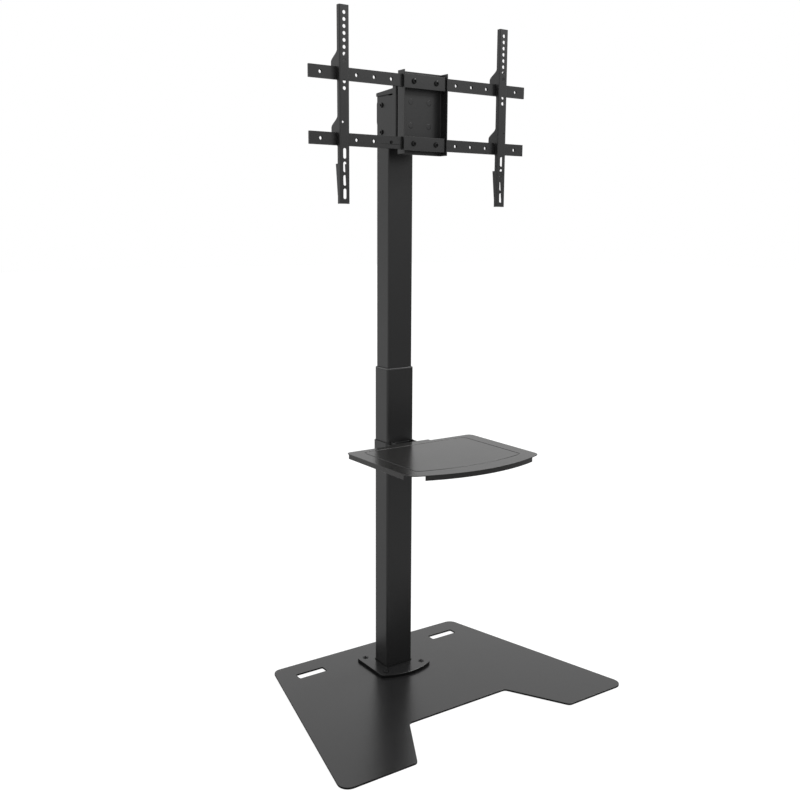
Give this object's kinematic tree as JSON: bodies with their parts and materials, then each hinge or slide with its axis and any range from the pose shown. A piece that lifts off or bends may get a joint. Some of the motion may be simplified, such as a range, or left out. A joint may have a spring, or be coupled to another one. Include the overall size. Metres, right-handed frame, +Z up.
{
  "type": "floor stand for a flat screen",
  "caption": "Free-standing screen stand: flat winged base plate, telescopic rectangular column, bowed shelf, two slotted rails and two hook-on arms for the screen.",
  "frame": {"origin": "on the floor under the middle of the base plate", "axes": "+Z up, the screen side faces -Y, +X to the right seen from the screen side's viewer"},
  "size_m": [0.9046, 0.612, 1.7602],
  "materials": {
    "black_coat": "matte black powder coat",
    "shelf_coat": "matte black powder coat",
    "black_screw": "black oxide",
    "zinc_steel": "dark zinc",
    "black_plastic": "matte",
    "rubber": "matte"
  },
  "bodies": {
    "stand": {"base_plate": "black_coat", "floor_pads": "rubber", "foot_flange": "black_coat", "foot_screws": "black_screw", "lower_column": "black_coat", "guide_collar": "black_plastic", "height_lock_screws": "black_screw"},
    "mast": {"upper_column": "black_coat", "upper_glide": "black_plastic", "head_bracket": "black_coat", "head_channel": "black_coat", "head_cap": "black_plastic", "head_screws": "black_screw", "head_spacers": "zinc_steel", "head_bolts": "black_screw", "head_nuts": "zinc_steel", "mount_frame": "black_coat", "top_rail": "black_coat", "bottom_rail": "black_coat", "top_strap": "black_coat", "bottom_strap": "black_coat", "strap_bolts": "black_screw", "strap_spacers": "zinc_steel", "strap_nuts": "zinc_steel"},
    "shelf": {"shelf_collar": "black_coat", "shelf_arms": "black_coat", "shelf_panel": "shelf_coat", "shelf_screws": "black_screw", "shelf_lock_screws": "black_screw"},
    "left_arm": {"left_arm": "black_coat"},
    "right_arm": {"right_arm": "black_coat"}
  },
  "joints": [
    {"name": "mast_height", "type": "slide", "parent": "stand", "child": "mast", "axis": [0, 0, 1], "range_m": [-0.4, 0.05]},
    {"name": "shelf_height", "type": "slide", "parent": "stand", "child": "shelf", "axis": [0, 0, 1], "range_m": [-0.4, 0.12]},
    {"name": "left_arm_slide", "type": "slide", "parent": "mast", "child": "left_arm", "axis": [1, 0, 0], "range_m": [-0.07, 0.15]},
    {"name": "right_arm_slide", "type": "slide", "parent": "mast", "child": "right_arm", "axis": [1, 0, 0], "range_m": [-0.15, 0.07]}
  ]
}
